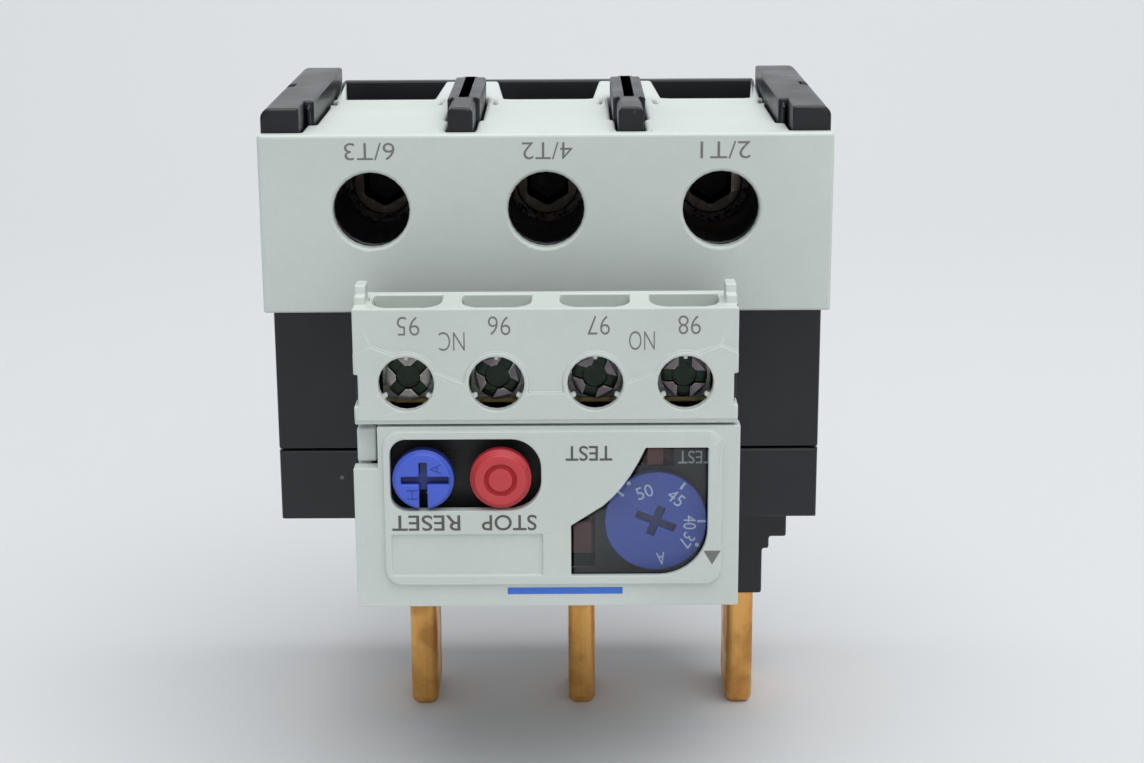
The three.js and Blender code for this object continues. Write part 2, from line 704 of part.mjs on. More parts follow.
/** The hinged panel: thin lips stand round the button hole and the window, with pockets behind. */
function frontPanel() {
  const outline = polygon([
    [-PANEL_HALF, PANEL_FLOOR],
    [PANEL_HALF, PANEL_FLOOR],
    [PANEL_HALF, PANEL_TOP],
    [-19.95, PANEL_TOP],
    [-19.95, 45.9],
    [-PANEL_HALF, 45.9],
  ]);
  const field = rounded([-19.3, 20.75], [31.4, 50.5], 1.9);
  const body = join(
    plate(outline, [PANEL_FRONT, PANEL_BACK]),
    plate(field, [PLATEAU_FRONT, PANEL_FRONT + 0.5]),
  );
  const buttonHole = rounded([-18.5, -0.65], [40.75, 49.55], 1.9, 3.6);
  const buttonPocket = rounded([-19.2, 0.05], [40.05, 50.25], 2.4, 4.2);
  const label = block([-18.5, -0.55], [PLATEAU_FRONT - 1, PLATEAU_FRONT + 0.35], [32.6, 37.75]);
  const earSlot = block([20.65, 24], [PANEL_FRONT + 0.4, PANEL_BACK + 1], [34.65, 39.85]);
  return cut(
    body,
    plate(buttonHole, [PLATEAU_FRONT - 1, PANEL_BACK + 1]),
    plate(buttonPocket, [-14.9, PANEL_BACK + 1]),
    plate(windowOutline(0), [PLATEAU_FRONT - 1, PANEL_BACK + 1]),
    plate(windowOutline(-0.9), [-15.5, PANEL_BACK + 1]),
    rod(DIAL_RADIUS + 0.45, [-14.2, PANEL_BACK + 1], DIAL_X, DIAL_LEVEL, 32),
    label,
    earSlot,
    post(PIN_RADIUS + GAP, HINGE_X, HINGE_Y, [32.8, 41.7], 10),
  );
}

function windowPane() {
  return plate(windowOutline(GAP), [PLATEAU_FRONT + 0.1, PLATEAU_FRONT + 0.7]);
}

// ---------------------------------------------------------------- buttons and dial

/** A cross-shaped slot, as two bars crossing on the Y axis at (x, z). */
function crossSlot(x, z, [y0, y1], lengths, width, degrees) {
  const turn = degrees * THREE.MathUtils.DEG2RAD;
  const bars = lengths.map(([from, to], index) => {
    const bar = new THREE.BoxGeometry(to - from, y1 - y0, width).translate((from + to) / 2, 0, 0);
    return solidOf(bar.rotateY(-turn - (index * Math.PI) / 2).translate(x, (y0 + y1) / 2, z));
  });
  return join(...bars);
}

/** The reset knob: a cross slot, and a keyway that runs out through its lower edge. */
function resetKnob() {
  const [x, z] = [RESET_X, BUTTON_LEVEL];
  const knob = rod(BUTTON_RADIUS, [-16.4, CAP_BACK], x, z, 28).add(
    rod(BUTTON_RADIUS - 0.35, [-FRONT, -16.3], x, z, 28),
  );
  const slot = crossSlot(x, z, [-FRONT - 1, -15.6], [[-2.6, 3], [-2.2, 2.2]], 0.95, 0);
  const keyway = block([x - 0.5, x + 0.5], [-FRONT - 1, CAP_BACK + 1], [z - 4, z - 1.5]);
  return cut(knob, slot, keyway);
}

/** A plunger behind a button: the stem and the collar that its spring pushes on. */
function plunger(x, front) {
  return join(
    rod(STEM_RADIUS, [front, 0.4], x, BUTTON_LEVEL, 14),
    rod(3.1, [-10.3, -9.3], x, BUTTON_LEVEL, 18),
  );
}

/** The stop button is one moulding: a dished cap with a ring groove, and its stem. */
function stopButton() {
  const [x, z] = [STOP_X, BUTTON_LEVEL];
  const cap = rod(BUTTON_RADIUS, [-16.3, CAP_BACK], x, z, 28).add(
    rod(BUTTON_RADIUS - 0.5, [-FRONT, -16.2], x, z, 28),
  );
  const ring = cut(
    rod(1.85, [-FRONT - 1, -16.5], x, z, 20),
    rod(1.55, [-FRONT - 1, -16.5], x, z, 20),
  );
  return cut(join(cap, plunger(x, CAP_BACK - 0.2)), ring);
}

/** A compression spring round a stem, from the collar back to its seat. */
function buttonSpring(x) {
  const turns = 3;
  const steps = 9;
  const radius = 2.6;
  const points = [];
  for (let i = 0; i <= turns * steps; i += 1) {
    const angle = (i / steps) * 2 * Math.PI;
    const y = -8.7 + (i / (turns * steps)) * 6.1;
    points.push(new THREE.Vector3(x + radius * Math.cos(angle), y, BUTTON_LEVEL + radius * Math.sin(angle)));
  }
  return sweep(new THREE.CatmullRomCurve3(points), 0.3, 5, turns * steps);
}

function dial() {
  const [x, z] = [DIAL_X, DIAL_LEVEL];
  const body = rod(DIAL_RADIUS, [-13.9, -12.6], x, z, 36).add(rod(1.9, [-13, -3], x, z, 14));
  return cut(body, crossSlot(x, z, [-15, -13.1], [[-2.5, 2.5], [-1.9, 1.9]], 1, -22));
}

/** The eccentric on the dial's shaft that sets the trip point. */
function dialCam() {
  return cut(
    rod(4.4, [-7, -4.6], DIAL_X - 1.2, DIAL_LEVEL, 20),
    rod(2.2, [-8, -4], DIAL_X, DIAL_LEVEL, 14),
  );
}

function testSlider() {
  return join(
    block([11.95, 13.95], [-13.3, -9.6], [45.4, 47.9]),
    block([9.3, 16.6], [-10.4, -9.4], [44.2, 48.9]),
  );
}

function tripIndicator() {
  return join(
    block([3, 5.35], [-12.7, -9.6], [34.1, 38.1]),
    block([1.9, 6.6], [-10.4, -9.4], [33.4, 39.4]),
  );
}

// ---------------------------------------------------------------- assembly

piece("terminal_shroud", terminalShroud(), LIGHT_GREY);
piece("main_case", mainCase(), BLACK);
piece("lower_case", lowerCase(), BLACK);
piece("rear_cover", rearCover(), BLACK);
BOSSES.forEach((boss, index) => piece(`rear_cover_screw_${index + 1}`, rearCoverScrew(boss), ZINC));
POLES.forEach((x, index) => {
  const number = index + 1;
  piece(`blade_bar_${number}`, bladeBar(index), COPPER);
  piece(`load_bar_${number}`, loadBar(x), COPPER);
  piece(`lug_cage_${number}`, lugCage(x), ZINC);
  piece(`lug_screw_${number}`, lugScrew(x), STEEL);
  piece(`bimetal_${number}`, bimetal(x), STEEL);
  piece(`heater_${number}`, heater(x), STEEL);
});
piece("main_slider", mainSlider(), NYLON);
piece("differential_slider", differentialSlider(), NYLON);
piece("trip_lever", tripLever(), NYLON);
piece("lever_pin", leverPin(), STEEL);
piece("contact_carrier", contactCarrier(), NYLON);
piece("nc_bridge", bridge([-18.4, 1.5], [0, 0.8]), BRASS);
piece("no_bridge", bridge([-1.5, 18.4], [-4.1, -3.3]), BRASS);
AUX_X.forEach((x, index) => {
  piece(`aux_terminal_${AUX_NAMES[index]}`, auxTerminal(x), BRASS);
  piece(`aux_clamp_${AUX_NAMES[index]}`, auxClamp(x), ZINC);
  piece(`aux_screw_${AUX_NAMES[index]}`, auxScrew(x, index), ZINC);
});
piece("aux_cover", auxCover(), LIGHT_GREY);
piece("module_base", moduleBase(), DARK_GREY);
piece("module_housing", moduleHousing(), LIGHT_GREY);
piece("front_panel", frontPanel(), LIGHT_GREY);
piece("window", windowPane(), CLEAR);
piece("dial", dial(), BLUE);
piece("dial_cam", dialCam(), NYLON);
piece("reset_knob", resetKnob(), BLUE);
piece("reset_stem", plunger(RESET_X, CAP_BACK + GAP), NYLON);
piece("reset_spring", buttonSpring(RESET_X), STEEL);
piece("stop_button", stopButton(), RED);
piece("stop_spring", buttonSpring(STOP_X), STEEL);
piece("test_slider", testSlider(), DARK_RED);
piece("trip_indicator", tripIndicator(), DARK_RED);

export default relay;
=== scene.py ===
"""Looks of a three-pole thermal overload relay that stands on its three copper blades.

Metres, +Z up, and the front with the buttons and the dial faces -Y. Lengths written in
millimetres go through mm(). Angles are in degrees, and on the front face they run
anticlockwise from +X as seen by someone in front of the relay.
"""

import json
import math

import bmesh
import bpy
from mathutils import Matrix, Vector


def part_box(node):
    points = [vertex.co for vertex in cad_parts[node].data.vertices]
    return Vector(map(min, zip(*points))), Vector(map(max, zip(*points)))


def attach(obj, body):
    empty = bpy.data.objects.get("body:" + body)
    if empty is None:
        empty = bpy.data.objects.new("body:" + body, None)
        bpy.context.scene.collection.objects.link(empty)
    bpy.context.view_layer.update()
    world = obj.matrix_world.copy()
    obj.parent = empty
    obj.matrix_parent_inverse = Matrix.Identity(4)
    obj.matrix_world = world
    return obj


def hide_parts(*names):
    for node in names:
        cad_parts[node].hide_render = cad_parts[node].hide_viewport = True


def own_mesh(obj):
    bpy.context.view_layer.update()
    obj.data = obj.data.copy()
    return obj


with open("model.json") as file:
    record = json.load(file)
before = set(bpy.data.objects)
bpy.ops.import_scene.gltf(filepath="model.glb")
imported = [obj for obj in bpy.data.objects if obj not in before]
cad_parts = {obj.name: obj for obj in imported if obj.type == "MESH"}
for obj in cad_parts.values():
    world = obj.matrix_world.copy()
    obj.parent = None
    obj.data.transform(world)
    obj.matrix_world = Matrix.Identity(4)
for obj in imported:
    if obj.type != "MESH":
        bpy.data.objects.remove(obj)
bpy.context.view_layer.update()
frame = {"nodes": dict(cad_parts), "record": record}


def mm(value):
    return value / 1000


# ---------------------------------------------------------------- places from the frame


def low(node):
    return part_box(node)[0]


def high(node):
    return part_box(node)[1]


def middle(node):
    return (low(node) + high(node)) / 2


FACE = low("terminal_shroud").y  # front face of the terminal shroud
COVER_FACE = low("aux_cover").y + mm(0.3)  # the cover's face above its raised lower part
PANEL_FACE = low("front_panel").y + mm(0.5)  # the panel's face around its raised field
FIELD_FACE = low("front_panel").y
BASE_FACE = low("module_base").y + mm(2)  # the base's face, behind the latches that it ends in
BLADE_PITCH = mm(21.9)
BLADE_WIDE = mm(3.7)
BLADE_X = [low("blade_bar_1").x + BLADE_WIDE / 2 + i * BLADE_PITCH for i in range(3)]
POLES = [middle(f"lug_screw_{i}") for i in (1, 2, 3)]
AUX = {name: middle(f"aux_screw_{name}") for name in ("95", "96", "97", "98")}
RESET = middle("reset_knob")
STOP = middle("stop_button")
DIAL = middle("dial")
PANEL_LEFT = low("front_panel").x
PANEL_FLOOR = low("front_panel").z
OVERRUN = mm(1)  # how far a cutting tool stands past the face that it starts from
PRINT_DEPTH = mm(0.02)  # of all printed marks


# ---------------------------------------------------------------- camera, stage and light


def make_camera():
    """The photograph's viewpoint: above the relay's top, tipped down 15 degrees."""
    place = (mm(3.05), mm(-273.1), mm(121.6))
    tilt, roll = math.radians(75), math.radians(-0.3)
    data = bpy.data.cameras.new("camera")
    data.lens = 67.75
    data.sensor_width = 36
    data.clip_start = 0.01
    camera = bpy.data.objects.new("camera", data)
    turn = Matrix.Rotation(tilt, 4, "X") @ Matrix.Rotation(roll, 4, "Z")
    camera.matrix_world = Matrix.Translation(place) @ turn
    bpy.context.scene.collection.objects.link(camera)
    bpy.context.scene.camera = camera


def make_stage():
    """A pale floor that curves up into a pale backdrop behind the relay."""
    floor_front = -1.2
    bend_start = 0.35
    radius = 0.5
    wall_top = 1.6
    half_width = 1.6
    steps = 16
    profile = [(floor_front, 0.0), (bend_start, 0.0)]
    for i in range(1, steps + 1):
        angle = i / steps * math.pi / 2
        profile.append((bend_start + radius * math.sin(angle), radius * (1 - math.cos(angle))))
    profile.append((bend_start + radius, wall_top))
    verts = [(x, y, z) for y, z in profile for x in (-half_width, half_width)]
    faces = [(2 * i, 2 * i + 1, 2 * i + 3, 2 * i + 2) for i in range(len(profile) - 1)]
    mesh = bpy.data.meshes.new("backdrop")
    mesh.from_pydata(verts, [], faces)
    mesh.shade_smooth()
    mesh.materials.append(backdrop_paper())
    stage = bpy.data.objects.new("backdrop", mesh)
    bpy.context.scene.collection.objects.link(stage)


def area_light(name, place, target, size, watts):
    data = bpy.data.lights.new(name, "AREA")
    data.shape = "RECTANGLE"
    data.size, data.size_y = size
    data.energy = watts
    light = bpy.data.objects.new(name, data)
    direction = Vector(target) - Vector(place)
    turn = direction.to_track_quat("-Z", "Y").to_matrix().to_4x4()
    light.matrix_world = Matrix.Translation(place) @ turn
    bpy.context.scene.collection.objects.link(light)


def make_lights():
    world = bpy.data.worlds.new("room")
    world.use_nodes = True
    background = world.node_tree.nodes["Background"]
    background.inputs["Color"].default_value = (0.93, 0.97, 1.0, 1)
    background.inputs["Strength"].default_value = 0.46
    bpy.context.scene.world = world
    relay = (0, 0, mm(50))
    area_light("overhead", (0.12, -0.25, 0.78), relay, (0.9, 0.7), 4.5)
    area_light("front_fill", (0.25, -1.0, 0.6), relay, (0.9, 0.6), 1.5)
    area_light("back_wash", (0, 0.1, 1.25), (0, 0.85, 0.8), (1.6, 0.5), 8.0)


# ---------------------------------------------------------------- materials


class Shader:
    """A Principled material and short ways to add the procedural nodes that drive it."""

    def __init__(self, name, colour, roughness, metallic=0.0, **sockets):
        self.material = bpy.data.materials.new(name)
        self.material.use_nodes = True
        self.tree = self.material.node_tree
        self.principled = self.tree.nodes["Principled BSDF"]
        self.colour = (*colour, 1)
        values = {"Base Color": self.colour, "Roughness": roughness, "Metallic": metallic}
        for socket, value in {**values, **sockets}.items():
            self.principled.inputs[socket].default_value = value
        self.where = self.add("ShaderNodeTexCoord").outputs["Object"]

    def add(self, kind, **inputs):
        node = self.tree.nodes.new(kind)
        for name, value in inputs.items():
            self.feed(node.inputs[name.replace("_", " ")], value)
        return node

    def feed(self, socket, value):
        if isinstance(value, bpy.types.NodeSocket):
            self.tree.links.new(value, socket)
        else:
            socket.default_value = value

    def noise(self, scale, detail=3.0, stretch=None):
        """Noise from 0 to 1. stretch gives the scale along X, Y and Z."""
        where = self.where
        if stretch:
            where = self.add("ShaderNodeMapping", Vector=where, Scale=stretch).outputs["Vector"]
        node = self.add("ShaderNodeTexNoise", Vector=where, Scale=scale, Detail=detail)
        return node.outputs["Fac"]

    def ranged(self, value, span, target):
        node = self.add("ShaderNodeMapRange", Value=value)
        node.inputs["From Min"].default_value, node.inputs["From Max"].default_value = span
        node.inputs["To Min"].default_value, node.inputs["To Max"].default_value = target
        return node.outputs["Result"]

    def depth_below(self, face, start, end):
        """0 near the front face at y = face, rising to 1 from start to end behind it: the mask of
        painted shade in slots and recesses.
        """
        across = self.add("ShaderNodeSeparateXYZ", Vector=self.where).outputs["Y"]
        return self.ranged(across, (face + start, face + end), (0, 1))

    def mixed(self, share, first, second):
        node = self.tree.nodes.new("ShaderNodeMix")
        node.data_type = "RGBA"
        self.feed(node.inputs["Factor"], share)
        self.feed(node.inputs[6], first)
        self.feed(node.inputs[7], second)
        return node.outputs[2]

    def tinted(self, factor):
        """The base colour made lighter or darker, as a colour value."""
        return tuple(min(1.0, c * factor) for c in self.colour[:3]) + (1,)

    def bump(self, height, distance, strength=1.0, normal=None):
        node = self.add("ShaderNodeBump", Height=height, Strength=strength, Distance=distance)
        if normal:
            self.tree.links.new(normal, node.inputs["Normal"])
        return node.outputs["Normal"]

    def drive(self, **sockets):
        for name, value in sockets.items():
            self.feed(self.principled.inputs[name.replace("_", " ")], value)
        return self.material


def edge_wear_and_highlight(s, tone, start, end, edge_colour, share=1.0):
    """The tone with its convex edges turned to a lighter colour: edge wear on the plastics, a
    painted highlight on the screw heads.
    """
    point = s.add("ShaderNodeNewGeometry").outputs["Pointiness"]
    return s.mixed(s.ranged(point, (start, end), (0, share)), tone, edge_colour)


def dusted(s, tone, amount):
    """The tone with pale specks, in patches."""
    cells = s.add("ShaderNodeTexVoronoi", Vector=s.where, Scale=260.0).outputs["Distance"]
    speck = s.ranged(cells, (0.05, 0.09), (amount, 0))
    patch = s.ranged(s.noise(35, 2), (0.5, 0.6), (0, 1))
    share = s.add("ShaderNodeMath")
    share.operation = "MULTIPLY"
    s.feed(share.inputs[0], speck)
    s.feed(share.inputs[1], patch)
    return s.mixed(share.outputs[0], tone, (0.45, 0.45, 0.44, 1))


def moulded_plastic(name, colour, roughness, dust=0.0, wear=1.25, face=None):
    """Moulded plastic: cloudy tone, fine spark-eroded grain, polished edges, and a few specks.

    wear is the factor that lightens the edges, or None to leave them. face is the y of a front
    face whose slots get painted shade that deepens with their depth.
    """
    s = Shader(name, colour, roughness)
    cloud = s.ranged(s.noise(55, 4), (0.3, 0.7), (0, 1))
    tone = s.mixed(cloud, s.tinted(0.955), s.tinted(1.04))
    fine = s.ranged(s.noise(900, 2), (0.35, 0.65), (0, 1))
    tone = s.mixed(s.ranged(fine, (0, 1), (0, 0.12)), tone, s.tinted(0.86))
    if wear:
        tone = edge_wear_and_highlight(s, tone, 0.53, 0.62, s.tinted(wear), 0.7)
    if dust:
        tone = dusted(s, tone, dust)
    # painted shade: the slots behind the front face darken with their depth
    if face is not None:
        tone = s.mixed(s.depth_below(face, mm(0.3), mm(0.8)), tone, s.tinted(0.34))
    rough = s.ranged(s.noise(140, 3), (0.3, 0.7), (roughness - 0.05, roughness + 0.06))
    orange_peel = s.bump(s.noise(420, 2), mm(0.02), 0.5)
    normal = s.bump(s.noise(5200, 3), mm(0.012), 0.7, orange_peel)
    return s.drive(Base_Color=tone, Roughness=rough, Normal=normal)


def drawn_copper():
    """Copper bar: drawn along its length, with warm and brown tarnish."""
    s = Shader("drawn_copper", (0.78, 0.38, 0.1), 0.36, 1.0)
    lines = s.noise(60, 4, (14, 14, 0.6))
    patches = s.ranged(s.noise(240, 6), (0.42, 0.62), (0, 1))
    tone = s.mixed(s.ranged(lines, (0.3, 0.7), (0, 0.6)), s.colour, (0.92, 0.56, 0.2, 1))
    tone = s.mixed(s.ranged(patches, (0, 1), (0, 0.55)), tone, (0.4, 0.17, 0.05, 1))
    rough = s.ranged(patches, (0, 1), (0.3, 0.52))
    return s.drive(Base_Color=tone, Roughness=rough, Normal=s.bump(lines, mm(0.03), 0.6))


def plated_steel(name, colour, tint, roughness):
    """Zinc-plated or bare steel: mottled, and tinted where the plating is thin."""
    s = Shader(name, colour, roughness, 1.0)
    patches = s.ranged(s.noise(650, 4), (0.4, 0.62), (0, 1))
    tone = s.mixed(patches, s.colour, (*tint, 1))
    rough = s.ranged(s.noise(1500, 3), (0.3, 0.7), (roughness - 0.1, roughness + 0.12))
    normal = s.bump(s.noise(2600, 3), mm(0.012), 0.6)
    return s.drive(Base_Color=tone, Roughness=rough, Normal=normal)


def socket_steel(name, face, rim, dull, floor):
    """A screw head: dull faces, a rim with a painted highlight, and a drive recess with painted
    shade that deepens inwards.
    """
    s = Shader(name, dull, 0.34, 1.0)
    patches = s.ranged(s.noise(900, 4), (0.4, 0.62), (0, 0.5))
    tone = s.mixed(patches, s.colour, s.tinted(0.5))
    # painted highlight: the convex edges of the head are turned to the bright rim colour
    tone = edge_wear_and_highlight(s, tone, 0.53, 0.6, (*rim, 1))
    # painted shade: the drive recess darkens towards the floor colour with its depth
    tone = s.mixed(s.depth_below(face, mm(0.15), mm(0.7)), tone, (*floor, 1))
    rough = s.ranged(s.noise(1500, 3), (0.3, 0.7), (0.26, 0.44))
    normal = s.bump(s.noise(1800, 3), mm(0.01), 0.5)
    return s.drive(Base_Color=tone, Roughness=rough, Normal=normal)


def brass_strip():
    s = Shader("brass_strip", (0.62, 0.47, 0.2), 0.32, 1.0)
    tone = s.mixed(s.ranged(s.noise(300, 4), (0.35, 0.65), (0, 0.5)), s.colour, (0.4, 0.27, 0.1, 1))
    return s.drive(Base_Color=tone, Normal=s.bump(s.noise(900, 2, (1, 1, 0.1)), mm(0.01), 0.5))


def clear_pane():
    """Clear plastic with a faint haze and fine rubbed scratches."""
    s = Shader("clear_pane", (0.3, 0.32, 0.33), 0.18, 0.0, IOR=1.5)
    haze = s.ranged(s.noise(90, 4), (0.3, 0.7), (0.05, 0.09))
    rubs = s.ranged(s.noise(300, 6, (1, 1, 6)), (0.6, 0.72), (0, 0.04))
    total = s.add("ShaderNodeMath")
    s.feed(total.inputs[0], haze)
    s.feed(total.inputs[1], rubs)
    rough = s.ranged(s.noise(200, 3), (0.3, 0.7), (0.12, 0.3))
    return s.drive(Alpha=total.outputs[0], Roughness=rough)


def ink(name, colour):
    """Pad-printed ink, slightly uneven."""
    s = Shader(name, colour, 0.55)
    thin = s.ranged(s.noise(1400, 3), (0.3, 0.7), (0, 1))
    return s.drive(Base_Color=s.mixed(thin, s.tinted(0.92), s.tinted(1.1)))


def backdrop_paper():
    s = Shader("backdrop_paper", (0.65, 0.66, 0.67), 0.8)
    tone = s.mixed(s.noise(3, 3), s.tinted(0.985), s.tinted(1.015))
    return s.drive(Base_Color=tone, Normal=s.bump(s.noise(900, 2), mm(0.02), 0.3))


LIGHT_GREY = moulded_plastic("light_grey_plastic", (0.6, 0.65, 0.615), 0.42, wear=None)
BLACK = moulded_plastic("black_plastic", (0.0042, 0.0058, 0.0082), 0.33, dust=0.25, wear=2.2)
DARK_GREY = moulded_plastic("dark_grey_plastic", (0.003, 0.0034, 0.004), 0.45, dust=0.1, wear=1.8)
BLUE = moulded_plastic("blue_plastic", (0.06, 0.115, 0.6), 0.36)
# painted shade in the knob's slot, deepening with its depth
KNOB_BLUE = moulded_plastic(
    "blue_plastic_knob", (0.06, 0.115, 0.62), 0.36, face=low("reset_knob").y
)
# a darker copy of the blue: painted shade of the dial behind the window, and painted shade in its
# slots that deepens with their depth
DIAL_BLUE_SHADED = moulded_plastic("blue_plastic_dial_shaded", (0.045, 0.08, 0.38), 0.4, face=low("dial").y)
ENGRAVED_BLUE = moulded_plastic("blue_plastic_engraved", (0.02, 0.045, 0.3), 0.5)
RED = moulded_plastic("red_plastic", (0.56, 0.045, 0.055), 0.36)
DARK_RED = moulded_plastic("dark_red_plastic", (0.07, 0.006, 0.008), 0.4)
NYLON = moulded_plastic("natural_nylon", (0.7, 0.66, 0.55), 0.45)
COPPER = drawn_copper()
BRASS = brass_strip()
ZINC = plated_steel("zinc_plate", (0.6, 0.6, 0.58), (0.42, 0.38, 0.44), 0.3)
STEEL = plated_steel("bare_steel", (0.5, 0.49, 0.48), (0.3, 0.27, 0.25), 0.36)
# rim is a painted highlight colour for the head's edges; floor is a painted shade colour for the
# drive recess
TERMINAL_SCREW = socket_steel(
    "terminal_screw_steel",
    face=low("aux_screw_95").y,
    rim=(0.75, 0.72, 0.66),
    dull=(0.19, 0.165, 0.18),
    floor=(0.028, 0.038, 0.03),
)
# rim is a painted highlight colour for the head's edges; floor is a painted shade colour for the
# drive recess
LUG_SCREW = socket_steel(
    "lug_screw_steel",
    face=low("lug_screw_1").y,
    rim=(0.3, 0.25, 0.22),
    dull=(0.09, 0.075, 0.065),
    floor=(0.012, 0.012, 0.012),
)
CLEAR = clear_pane()
GREY_INK = ink("grey_ink", (0.17, 0.17, 0.16))
DARK_INK = ink("dark_ink", (0.1, 0.095, 0.085))
PALE_INK = ink("pale_ink", (0.42, 0.52, 0.66))
FADED_INK = ink("faded_ink", (0.42, 0.5, 0.53))
BLUE_INK = ink("blue_ink", (0.05, 0.16, 0.62))

SLOT_MATERIALS = {
    "light_grey": LIGHT_GREY,
    "black": BLACK,
    "dark_grey": DARK_GREY,
    "copper": COPPER,
    "zinc": ZINC,
    "steel": STEEL,
    "nylon": NYLON,
    "brass": BRASS,
    "clear": CLEAR,
    "blue": BLUE,
    "red": RED,
    "dark_red": DARK_RED,
}
SLOT_OF = {part["node"]: part["material_slot"] for part in frame["record"]["subparts"]}
BODY_OF = {
    node: body for body, nodes in frame["record"]["behaviour"]["bodies"].items() for node in nodes
}


# ---------------------------------------------------------------- mesh tools


def object_of(name, mesh):
    made = bpy.data.objects.new(name, mesh)
    bpy.context.scene.collection.objects.link(made)
    return made


def extruded(points, travel, name):
    """A closed solid from a flat ring of points, carried along the vector travel."""
    bm = bmesh.new()
    face = bm.faces.new([bm.verts.new(point) for point in points])
    grown = bmesh.ops.extrude_face_region(bm, geom=[face])
    moved = [v for v in grown["geom"] if isinstance(v, bmesh.types.BMVert)]
    bmesh.ops.translate(bm, vec=travel, verts=moved)
    bmesh.ops.recalc_face_normals(bm, faces=bm.faces)
    mesh = bpy.data.meshes.new(name)
    bm.to_mesh(mesh)
    bm.free()
    return object_of(name, mesh)


def prism(outline, depth, name="tool"):
    """A closed solid from an outline in X and Z, carried along Y over the span depth."""
    points = [(x, depth[0], z) for x, z in outline]
    return extruded(points, (0, depth[1] - depth[0], 0), name)


def slab(x, y, z, name="tool"):
    """A block over three spans."""
    return prism([(x[0], z[0]), (x[1], z[0]), (x[1], z[1]), (x[0], z[1])], y, name)


def disc(centre, radius, depth, sides=64, name="tool"):
    """A round bar along Y round the point centre, given as X and Z."""
    angles = [2 * math.pi * i / sides for i in range(sides)]
    outline = [(centre[0] + radius * math.cos(a), centre[1] + radius * math.sin(a)) for a in angles]
    return prism(outline, depth, name)


def bar(centre, length, width, degrees, depth, name="tool"):
    """A flat bar along Y through centre, its long side turned by degrees on the front face."""
    c, s = math.cos(math.radians(degrees)), math.sin(math.radians(degrees))
    corners = [(-0.5, -0.5), (0.5, -0.5), (0.5, 0.5), (-0.5, 0.5)]
    outline = [
        (centre[0] + a * length * c - b * width * s, centre[1] + a * length * s + b * width * c)
        for a, b in corners
    ]
    return prism(outline, depth, name)


def settle(made):
    """Applies an object's modifiers to its mesh."""
    depsgraph = bpy.context.evaluated_depsgraph_get()
    mesh = bpy.data.meshes.new_from_object(made.evaluated_get(depsgraph))
    made.modifiers.clear()
    made.data = mesh
    return made


def carve(made, *tools, operation="DIFFERENCE"):
    """Cuts tools from a piece, or joins them to it, and removes them."""
    for tool in tools:
        modifier = made.modifiers.new("carve", "BOOLEAN")
        modifier.solver = "EXACT"
        modifier.operation = operation
        modifier.object = tool
        settle(made)
        bpy.data.objects.remove(tool)
    return made


def soften(made, width, segments=2):
    """Rounds the sharp edges, and shades the curves smooth and the large faces flat."""
    bevel = made.modifiers.new("edges", "BEVEL")
    bevel.width = width
    bevel.segments = segments
    bevel.limit_method = "ANGLE"
    bevel.angle_limit = math.radians(40)
    bevel.use_clamp_overlap = False
    bevel.miter_outer = "MITER_ARC"
    settle(made)
    split_large_faces(made.data)
    made.data.shade_smooth()
    made.data.set_sharp_from_angle(angle=math.radians(35))
    flat_area = mm(1) ** 2
    for face in made.data.polygons:
        face.use_smooth = face.area < flat_area
    weights = made.modifiers.new("shading", "WEIGHTED_NORMAL")
    weights.keep_sharp = True
    return settle(made)


def split_large_faces(mesh):
    """Divides the many-sided faces into well-shaped triangles, so that they shade evenly."""
    bm = bmesh.new()
    bm.from_mesh(mesh)
    large = [face for face in bm.faces if len(face.verts) > 4]
    bmesh.ops.triangulate(bm, faces=large, ngon_method="BEAUTY")
    bm.to_mesh(mesh)
    bm.free()


def copy_of(node):
    """A CAD node's mesh as a new piece, with its flat faces made whole."""
    bm = bmesh.new()
    bm.from_mesh(frame["nodes"][node].data)
    bmesh.ops.remove_doubles(bm, verts=bm.verts, dist=mm(0.002))
    bmesh.ops.dissolve_limit(bm, angle_limit=math.radians(1), verts=bm.verts, edges=bm.edges)
    mesh = bpy.data.meshes.new(node)
    bm.to_mesh(mesh)
    bm.free()
    return object_of(f"{node}_skin", mesh)


def adopt(made, node, material=None):
    """The piece stands for a CAD node, rides on its body and takes its material."""
    slot = SLOT_OF[node]
    made.data.materials.clear()
    made.data.materials.append(material or SLOT_MATERIALS[slot])
    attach(made, BODY_OF[node])
    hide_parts(node)
    return made


def add_piece(made, node, material):
    """A small extra piece that rides with a CAD node."""
    made.data.materials.clear()
    made.data.materials.append(material)
    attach(made, BODY_OF[node])
    return made


# ---------------------------------------------------------------- lettering


def text_mesh(name, words, stroke):
    """Words as a solid one unit thick. stroke thickens their lines, or thins them below zero."""
    curve = bpy.data.curves.new(name, "FONT")
    curve.body = words
    curve.resolution_u = 5
    curve.offset = stroke
    curve.extrude = 0.5
    holder = object_of(name, curve)
    depsgraph = bpy.context.evaluated_depsgraph_get()
    mesh = bpy.data.meshes.new_from_object(holder.evaluated_get(depsgraph))
    bpy.data.objects.remove(holder)
    return mesh


def weld(mesh):
    bm = bmesh.new()
    bm.from_mesh(mesh)
    bmesh.ops.remove_doubles(bm, verts=bm.verts, dist=mm(0.0005))
    bm.to_mesh(mesh)
    bm.free()


